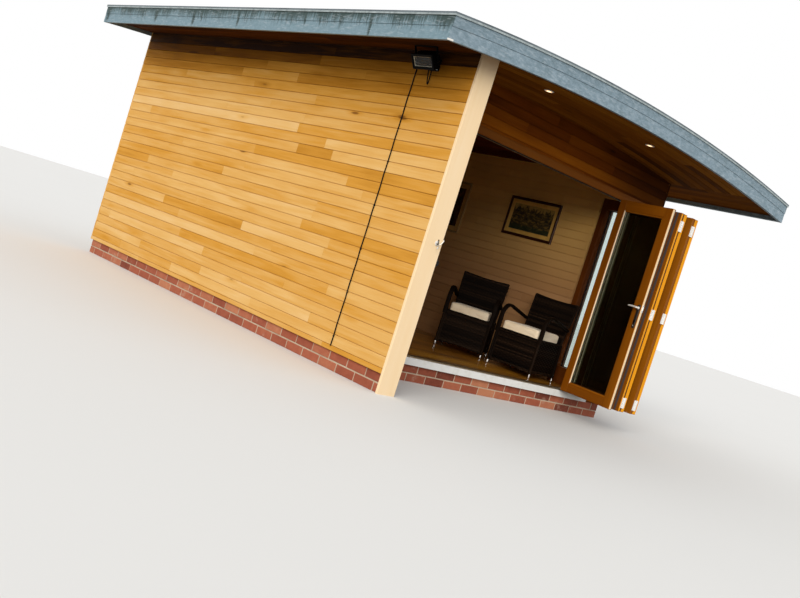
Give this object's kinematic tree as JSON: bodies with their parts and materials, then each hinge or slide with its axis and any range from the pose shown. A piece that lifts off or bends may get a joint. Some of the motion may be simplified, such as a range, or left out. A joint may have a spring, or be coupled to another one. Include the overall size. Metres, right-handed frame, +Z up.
{
  "type": "garden office pod",
  "caption": "Timber garden office pod with an arched overhanging roof, cedar cladding, a brick plinth and outward folding doors stacked open",
  "frame": {"origin": "centre of the ground rectangle under the roof", "axes": "+X left to right seen from the doors, +Y from the doors to the back, +Z up"},
  "size_m": [4.756, 5.436, 2.708],
  "materials": {
    "brick": "rough red brick in pale mortar",
    "cedar": "weathered cedar boards",
    "painted_boards": "white painted boards",
    "framing": "sawn softwood",
    "oiled_timber": "oiled orange hardwood",
    "dark_timber": "dark stained timber",
    "stained_timber": "blue grey stain, weathered",
    "white_timber": "white paint",
    "pale_timber": "pale timber",
    "roof_membrane": "matte sheet",
    "trim_metal": "satin",
    "hardware": "bright",
    "white_hardware": "white",
    "glass": "clear",
    "lamp": "black",
    "rattan": "woven dark brown",
    "cushion": "cream canvas",
    "picture": "brown frame"
  },
  "bodies": {
    "root": {"brick_plinth": "brick", "door_sill": "white_timber", "floor_deck": "oiled_timber", "left_wall": "framing", "back_wall": "framing", "right_wall": "framing", "window_lintel": "framing", "corner_pier": "framing", "door_header": "framing", "wing_end_board": "pale_timber", "left_cladding": "cedar", "wing_lining": "cedar", "back_cladding": "cedar", "right_cladding": "cedar", "front_cladding": "cedar", "room_lining": "painted_boards", "roof_deck": "framing", "roof_covering": "roof_membrane", "roof_edge_trim": "trim_metal", "front_fascia": "stained_timber", "back_fascia": "stained_timber", "side_fascias": "stained_timber", "veranda_soffit": "cedar", "side_soffits": "cedar", "room_ceiling": "dark_timber", "ceiling_cornice": "dark_timber", "door_frame": "oiled_timber", "door_leaf_1": "oiled_timber", "door_leaf_2": "oiled_timber", "door_leaf_3": "oiled_timber", "door_leaf_4": "oiled_timber", "door_leaf_5": "oiled_timber", "door_glass": "glass", "door_hinges": "white_hardware", "door_handle": "hardware", "side_window_frame": "dark_timber", "side_window_glass": "glass", "downlights": "white_hardware", "flood_light": "lamp", "flood_light_cable": "lamp", "wall_hook": "hardware", "wall_pictures": "picture", "armchair_1": "rattan", "armchair_2": "rattan", "chair_cushions": "cushion"}
  },
  "joints": []
}
